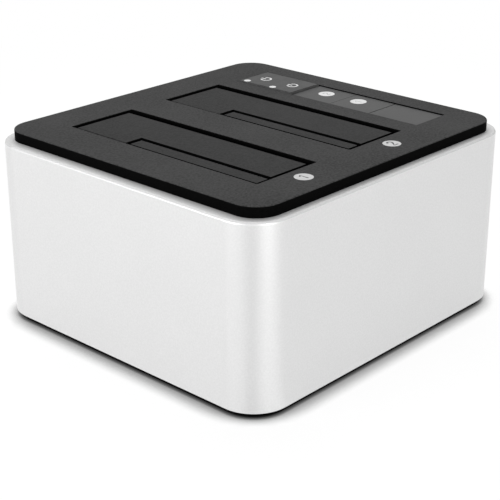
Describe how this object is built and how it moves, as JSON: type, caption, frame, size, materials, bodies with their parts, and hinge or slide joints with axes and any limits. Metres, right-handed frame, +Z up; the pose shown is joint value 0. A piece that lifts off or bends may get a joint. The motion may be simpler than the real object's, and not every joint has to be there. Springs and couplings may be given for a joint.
{
  "type": "hard drive docking station",
  "caption": "Docking station that holds bare hard drives on end in sprung, flap-covered bays, with power keys and an internal power supply.",
  "frame": {"origin": "centre of the footprint, on the surface the station stands on", "axes": "+Z up, -Y towards the user (front), +X to the user's right, +Y to the rear panel with the sockets"},
  "size_m": [0.16, 0.15, 0.0833],
  "materials": {
    "anodised_aluminium": "bead-blasted, clear anodised",
    "base_plastic": "moulded, fine matt",
    "foot_rubber": "moulded rubber",
    "top_plastic": "moulded, fine spark texture",
    "flap_plastic": "moulded, fine spark texture",
    "strip_plastic": "moulded, satin",
    "smoked_acrylic": "smoked acrylic",
    "clear_acrylic": "clear acrylic",
    "well_plastic": "moulded ABS",
    "pin_steel": "ground steel",
    "spring_steel": "drawn spring wire",
    "screw_steel": "zinc plated",
    "board_laminate": "glass-fibre board with solder mask",
    "chip_epoxy": "moulded epoxy",
    "heat_sink_aluminium": "extruded",
    "capacitor_sleeve": "shrink sleeve",
    "capacitor_moulding": "moulded epoxy",
    "ferrite": "sintered ferrite",
    "insulating_fibre": "fibre sheet",
    "connector_plastic": "moulded, glass filled",
    "port_steel": "nickel plated",
    "lead_jacket": "extruded PVC",
    "led_epoxy": "clear epoxy"
  },
  "bodies": {
    "case": {"case_shell": "anodised_aluminium", "base_plate": "base_plastic", "foot_front_left": "foot_rubber", "foot_front_right": "foot_rubber", "foot_rear_left": "foot_rubber", "foot_rear_right": "foot_rubber", "top_plate": "top_plastic", "strip_plate": "strip_plastic", "led_window": "smoked_acrylic", "light_guide": "clear_acrylic", "drive_well_1": "well_plastic", "drive_well_2": "well_plastic", "hinge_pin_1": "pin_steel", "hinge_pin_2": "pin_steel", "flap_spring_1": "spring_steel", "flap_spring_2": "spring_steel", "receptacle_1": "connector_plastic", "receptacle_2": "connector_plastic", "tact_switch_1": "chip_epoxy", "tact_switch_2": "chip_epoxy", "main_board": "board_laminate", "bridge_chips": "chip_epoxy", "chip_heat_sink": "heat_sink_aluminium", "board_capacitors": "capacitor_moulding", "usb_port": "port_steel", "power_board": "board_laminate", "transformer": "ferrite", "bulk_capacitor": "capacitor_sleeve", "output_capacitors": "capacitor_sleeve", "power_heat_sink": "heat_sink_aluminium", "mains_choke": "ferrite", "insulator_sheet": "insulating_fibre", "control_board": "board_laminate", "indicator_leds": "led_epoxy", "rear_panel": "base_plastic", "ac_inlet": "connector_plastic", "mains_leads": "lead_jacket", "low_voltage_leads": "lead_jacket", "ribbon_cable": "lead_jacket", "base_screws": "screw_steel", "plate_screws": "screw_steel", "well_screws": "screw_steel", "board_screws": "screw_steel", "control_screws": "screw_steel"},
    "power_key_1": {"power_key_1": "strip_plastic"},
    "power_key_2": {"power_key_2": "strip_plastic"},
    "large_flap_1": {"large_flap_1": "flap_plastic", "small_hinge_pin_1": "pin_steel", "small_flap_spring_1": "spring_steel"},
    "small_flap_1": {"small_flap_1": "flap_plastic"},
    "large_flap_2": {"large_flap_2": "flap_plastic", "small_hinge_pin_2": "pin_steel", "small_flap_spring_2": "spring_steel"},
    "small_flap_2": {"small_flap_2": "flap_plastic"}
  },
  "joints": [
    {"name": "large_flap_1_hinge", "type": "hinge", "parent": "case", "child": "large_flap_1", "pos_m": [-0.0187, -0.0002, 0.0776], "axis": [0, -1, 0], "range_deg": [0, 90], "stiffness_Nm_per_rad": 0.006, "springref_deg": -57.3, "deforming": ["flap_spring_1"]},
    {"name": "small_flap_1_hinge", "type": "hinge", "parent": "large_flap_1", "child": "small_flap_1", "pos_m": [-0.0406, -0.016, 0.0786], "axis": [0, -1, 0], "range_deg": [0, 90], "stiffness_Nm_per_rad": 0.0008, "springref_deg": -57.3, "deforming": ["small_flap_spring_1"]},
    {"name": "power_key_1_press", "type": "slide", "parent": "case", "child": "power_key_1", "axis": [0, 0, -1], "range_m": [0, 0.0008], "stiffness_N_per_m": 150, "springref_m": -0.001},
    {"name": "large_flap_2_hinge", "type": "hinge", "parent": "case", "child": "large_flap_2", "pos_m": [0.0353, -0.0002, 0.0776], "axis": [0, -1, 0], "range_deg": [0, 90], "stiffness_Nm_per_rad": 0.006, "springref_deg": -57.3, "deforming": ["flap_spring_2"]},
    {"name": "small_flap_2_hinge", "type": "hinge", "parent": "large_flap_2", "child": "small_flap_2", "pos_m": [0.0134, -0.016, 0.0786], "axis": [0, -1, 0], "range_deg": [0, 90], "stiffness_Nm_per_rad": 0.0008, "springref_deg": -57.3, "deforming": ["small_flap_spring_2"]},
    {"name": "power_key_2_press", "type": "slide", "parent": "case", "child": "power_key_2", "axis": [0, 0, -1], "range_m": [0, 0.0008], "stiffness_N_per_m": 150, "springref_m": -0.001}
  ]
}
